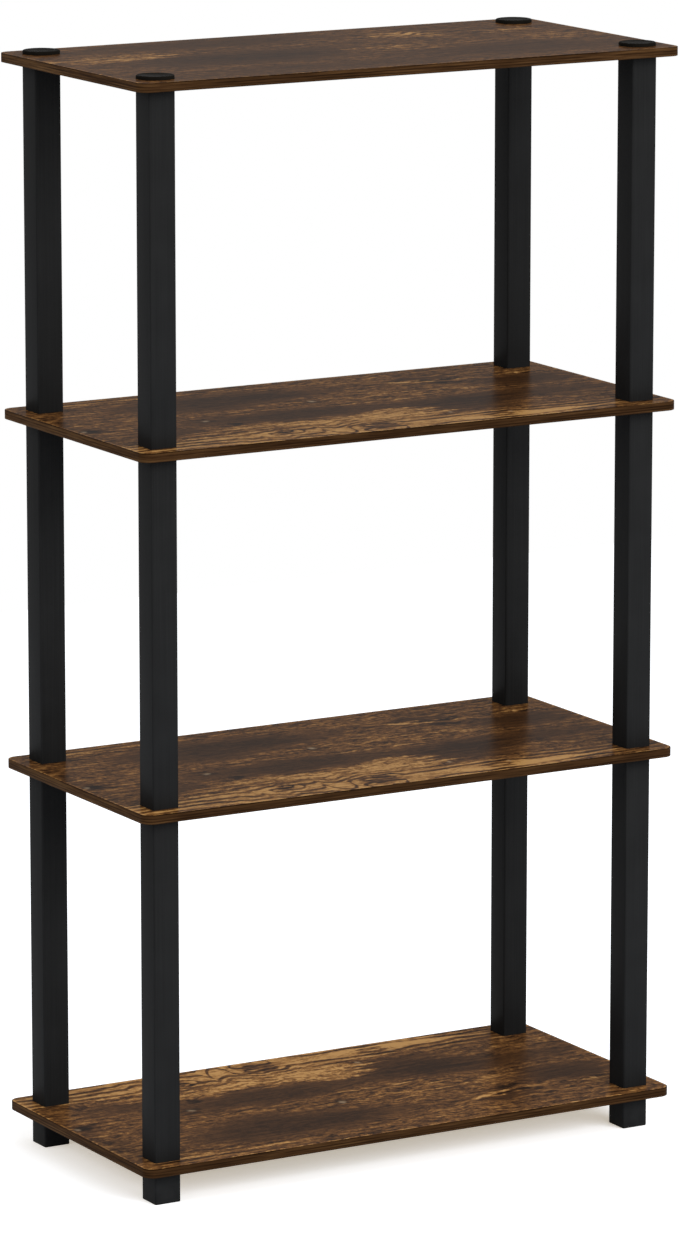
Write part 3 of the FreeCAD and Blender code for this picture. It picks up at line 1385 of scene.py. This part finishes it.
SHELF_SPECKS = (
    Stain((-16.0, 30.0), (9.0, 8.0), -0.16, 0.5),
    Stain((-162.0, -17.0), (11.0, 9.0), -0.14, 0.5),
    Stain((-143.0, -46.0), (8.0, 6.0), -0.30, 0.5),
    Stain((-126.0, -110.0), (9.0, 7.0), -0.34, 0.5),
    Stain((-285.0, -14.0), (8.0, 10.0), -0.26, 0.5),
    Stain((-290.0, 44.0), (8.0, 7.0), -0.28, 0.5),
    Stain((-254.0, -78.0), (10.0, 9.0), -0.22, 0.5),
    Stain((164.0, 26.0), (14.0, 7.0), 0.16, 0.6),
    Stain((158.0, 62.0), (16.0, 9.0), -0.26, 0.5),
    Stain((120.0, 80.0), (20.0, 3.0), 0.26, 0.5, 22.0),
    Stain((146.0, 76.0), (22.0, 3.0), 0.24, 0.5, 18.0),
    Stain((134.0, 84.0), (24.0, 3.0), -0.28, 0.5, 20.0),
    Stain((172.0, 82.0), (20.0, 3.0), -0.28, 0.5, -24.0),
    Stain((182.0, 74.0), (18.0, 3.0), 0.22, 0.5, -20.0),
)
SHELF_PALE = (
    Stain((-16.0, 30.0), (2.8, 3.6), 0.8, 0.8),
    Stain((-162.0, -17.0), (3.6, 3.4), 0.6, 0.8),
    Stain((72.0, -90.0), (2.6, 3.2), 0.7, 0.8),
    Stain((126.0, -115.0), (2.4, 3.0), 0.5, 0.8),
    Stain((-292.0, -12.0), (2.2, 3.4), 0.6, 0.8),
)
SHELF_FIGURE = (
    Stain((-55.0, -128.0), (290.0, 34.0), 0.9, 0.25),
    Stain((240.0, -112.0), (90.0, 18.0), 0.7, 0.5),
    Stain((-60.0, -82.0), (90.0, 14.0), 0.25, 0.8),
    Stain((140.0, 84.0), (50.0, 24.0), 0.5, 0.6),
    Stain((-190.0, 132.0), (110.0, 14.0), 0.5, 0.5),
)
SHELF_KNOTS = (
    Knot((-28.0, -127.0), 24.0, 1.8),
    Knot((108.0, -128.0), 13.0, 3.2),
    Knot((-126.0, -110.0), 13.0, 1.6),
    Knot((150.0, 90.0), 9.0, 2.5),
)
SHELF_FOLDS = (
    Stain((-85.0, -115.0), (90.0, 60.0), 95.0, 0.5),
    Stain((140.0, 84.0), (50.0, 24.0), 85.0, 0.6),
)
TOP_STAINS = (
    Stain((-225.0, 40.0), (70.0, 20.0), 0.24, 0.6),
    Stain((115.0, 75.0), (34.0, 26.0), 0.26, 0.5),
    Stain((220.0, 57.0), (20.0, 12.0), 0.18, 0.6),
    Stain((245.0, 5.0), (50.0, 22.0), 0.10, 0.7),
    Stain((-110.0, -10.0), (110.0, 40.0), -0.18, 0.7),
    Stain((-90.0, 105.0), (120.0, 30.0), -0.12, 0.7),
    Stain((160.0, -70.0), (110.0, 36.0), -0.12, 0.7),
    Stain((50.0, -10.0), (60.0, 26.0), 0.08, 0.7),
    Stain((-80.0, -110.0), (120.0, 26.0), -0.08, 0.7),
)
TOP_FIGURE = (
    Stain((130.0, 85.0), (80.0, 30.0), 0.6, 0.5),
    Stain((-230.0, 42.0), (80.0, 22.0), 0.4, 0.6),
)
TOP_KNOTS = (Knot((75.0, 88.0), 14.0, 2.0), Knot((-215.0, 30.0), 10.0, 2.6))
TOP_FOLDS = (Stain((110.0, 80.0), (80.0, 50.0), 85.0, 0.5),)
SHELF_PICTURE = FoilPicture(
    "shelf_picture",
    stains=SHELF_STAINS,
    figured=SHELF_FIGURE,
    specks=SHELF_SPECKS,
    pale=SHELF_PALE,
    lines=GrainLines("shelf_grain_lines", knots=SHELF_KNOTS, folded=SHELF_FOLDS),
)
TOP_PICTURE = FoilPicture(
    "top_picture",
    stains=TOP_STAINS,
    figured=TOP_FIGURE,
    lines=GrainLines("top_grain_lines", knots=TOP_KNOTS, folded=TOP_FOLDS),
    plain_tone=0.42,
)


def dress_boards() -> None:
    """Give each board its foil: the two middle boards alike, the lowest turned over, the top its own."""
    # Painted light: the lowest board's inks are painted lighter, the middle and top boards' darker, for the
    # light each gets.
    straight = BoardPrint("board_print", SHELF_PICTURE, painted_light_level=0.91).material()
    turned = BoardPrint("board_print_turned", SHELF_PICTURE, Lay.TURNED, blur=0.36, painted_light_level=1.05).material()
    top = BoardPrint("board_print_top", TOP_PICTURE, sheen=0.13, painted_light_level=0.82).material()
    for number, foil in ((1, turned), (2, straight), (3, straight), (4, top)):
        Board(f"board_{number}").dress(foil)


def dress_posts() -> None:
    """Build every post's shown pieces and finish the plugs inside it."""
    black = (0.0108, 0.0108, 0.0108)
    warm_black = (0.0062, 0.0053, 0.0042)
    drawn = BlackPlastic(
        "drawn_black_plastic", black, (0.9, 0.9, 160.0), (0.5, 0.5, 12.0), 0.01, 0.42
    ).material()
    moulded = BlackPlastic(
        "moulded_black_plastic", black, (14.0, 14.0, 14.0), (0.5, 0.5, 0.5), 0.015, 0.48
    ).material()
    matt = BlackPlastic(
        "matt_black_plastic", warm_black, (14.0, 14.0, 14.0), (0.5, 0.5, 0.5), 0.015, 0.55, 0.004
    ).material()
    for post in Post:
        PostFoot(f"foot_{post.value}", f"moulded_foot_{post.value}", Slot.PLASTIC).dress(moulded)
        for number in (1, 2, 3):
            tube = PostTube(f"tube_{post.value}_{number}", f"drawn_tube_{post.value}_{number}", Slot.PLASTIC)
            tube.dress(drawn)
            dress_solid(f"stud_plug_{post.value}_{number}", moulded)
            dress_solid(f"socket_plug_{post.value}_{number}", moulded)
        ScrewCap(f"cap_{post.value}", f"turned_cap_{post.value}", Slot.PLASTIC).dress(matt)


def dress_bands() -> None:
    """Put the printed strip round every board."""
    strip = BandPrint().material()
    for number in (1, 2, 3, 4):
        EdgeBand(f"edge_band_{number}", f"printed_band_{number}", Slot.BAND).dress(strip)


def main() -> None:
    """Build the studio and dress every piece."""
    logging.basicConfig(level=logging.INFO, format="%(message)s")
    bpy.context.scene.view_settings.view_transform = "Standard"
    Viewpoint().build()
    Studio().build()
    dress_boards()
    dress_bands()
    dress_posts()


if __name__ == "__main__":
    main()
